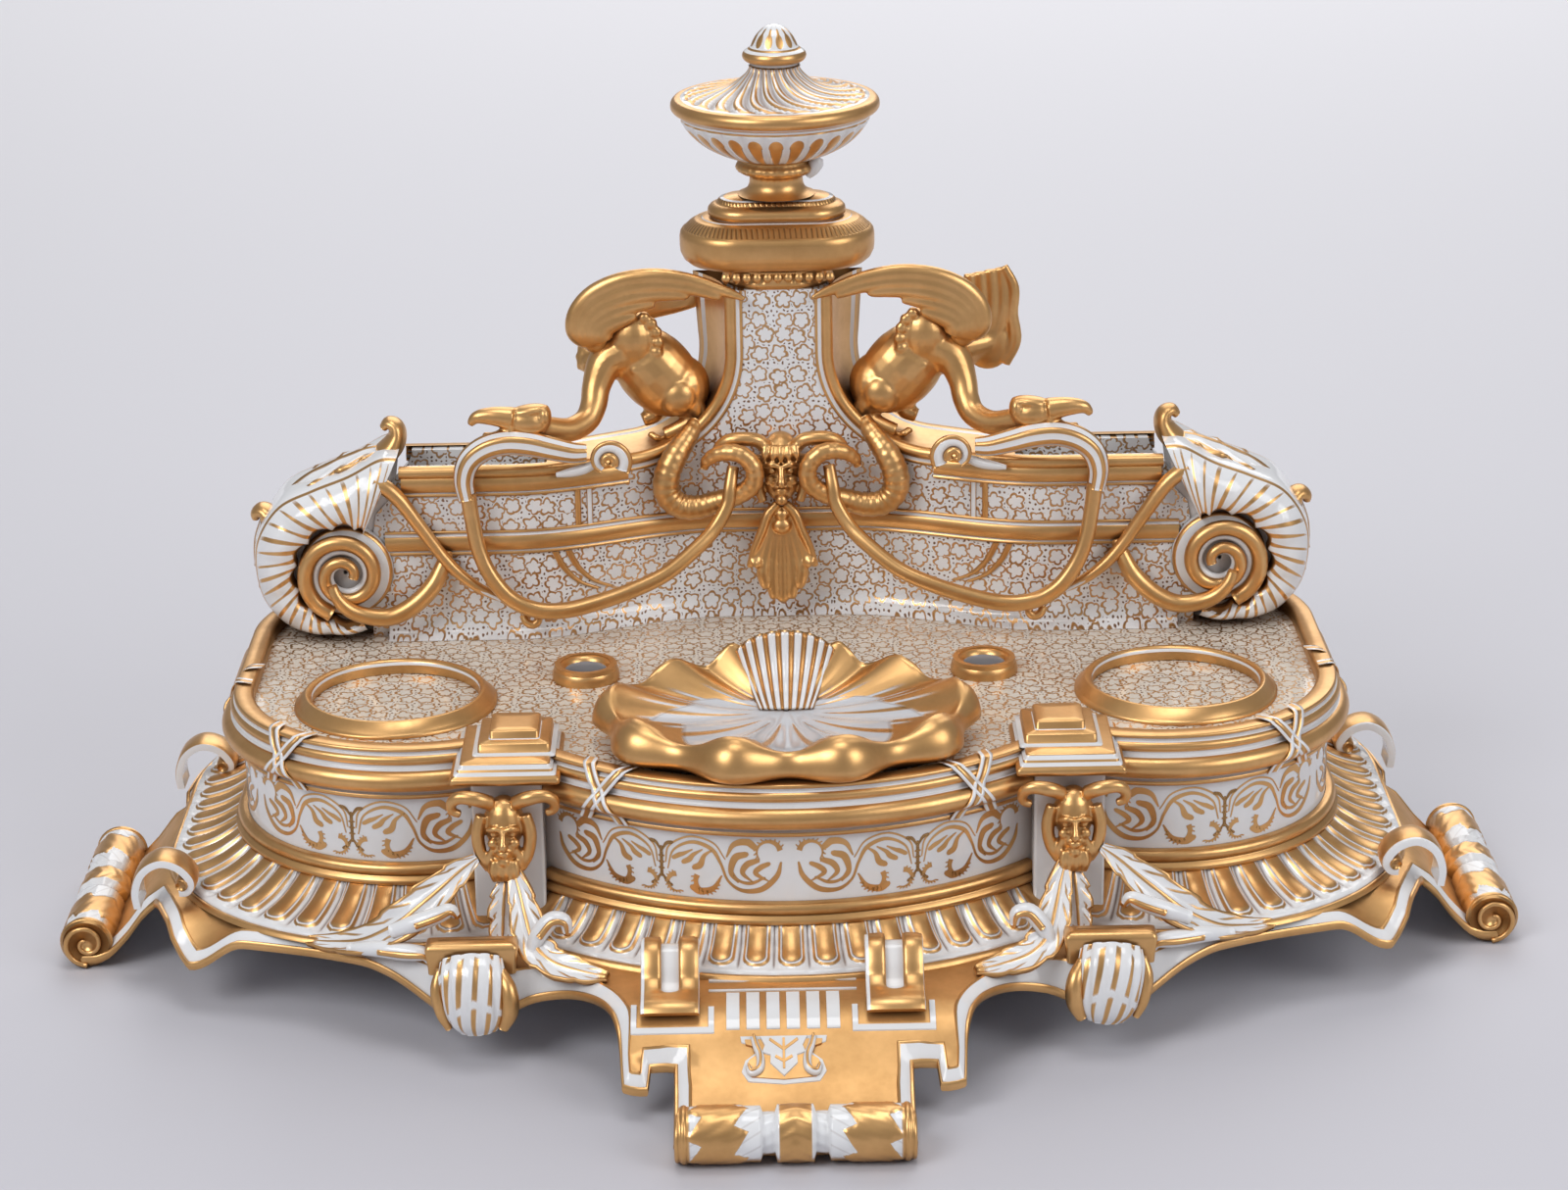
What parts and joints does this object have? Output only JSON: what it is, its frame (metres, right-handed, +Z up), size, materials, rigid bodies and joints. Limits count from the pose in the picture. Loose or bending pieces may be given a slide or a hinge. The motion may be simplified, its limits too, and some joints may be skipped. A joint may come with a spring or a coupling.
{
  "type": "desk inkstand",
  "caption": "Gilt porcelain desk inkstand: lobed tray on a fluted base with scrolled feet, pen holes, inkwell seats, shell dish, letter rack, winged beasts and a lift-off urn finial.",
  "frame": {"origin": "on the table below the middle of the feet", "axes": "+X to the right along the front, +Y from the shell dish towards the letter rack, +Z up"},
  "size_m": [0.34, 0.27, 0.202],
  "materials": {
    "gilding": "burnished gilding over glaze",
    "white_glaze": "glossy white glaze"
  },
  "bodies": {
    "inkstand": {"base_plate": "gilding", "front_foot": "gilding", "rear_foot": "gilding", "left_foot": "gilding", "right_foot": "gilding", "front_straps": "gilding", "rear_straps": "gilding", "left_straps": "white_glaze", "right_straps": "white_glaze", "plate_corners": "gilding", "leaf_clasps": "white_glaze", "fluted_apron": "gilding", "base_torus": "gilding", "body_wall": "white_glaze", "cornice": "gilding", "ribbon_ties": "white_glaze", "tray": "white_glaze", "left_well_ring": "gilding", "right_well_ring": "gilding", "left_pen_socket": "gilding", "right_pen_socket": "gilding", "shell_dish": "gilding", "shell_fan": "white_glaze", "left_block": "white_glaze", "right_block": "white_glaze", "left_mask": "gilding", "right_mask": "gilding", "left_mask_leaves": "white_glaze", "right_mask_leaves": "white_glaze", "rack_front_wall": "white_glaze", "rack_back_wall": "white_glaze", "lower_band": "gilding", "upper_band": "gilding", "left_volute": "gilding", "right_volute": "gilding", "left_acanthus": "white_glaze", "right_acanthus": "white_glaze", "left_branch": "gilding", "right_branch": "gilding", "pedestal_core": "gilding", "left_griffin": "gilding", "right_griffin": "gilding", "left_wings": "gilding", "right_wings": "gilding", "left_tail": "gilding", "right_tail": "gilding", "left_hoop": "gilding", "right_hoop": "gilding", "left_scroll": "white_glaze", "right_scroll": "white_glaze", "centre_mask": "gilding", "mask_shell": "gilding", "capital_neck": "gilding", "capital": "gilding"},
    "finial": {"finial_cover": "gilding", "urn_stem": "gilding", "urn_bowl": "white_glaze", "urn_lid": "white_glaze", "urn_knob": "gilding"}
  },
  "joints": [
    {"name": "finial_lift", "type": "slide", "parent": "inkstand", "child": "finial", "axis": [0, 0, 1], "range_m": [0, 0.045]}
  ]
}
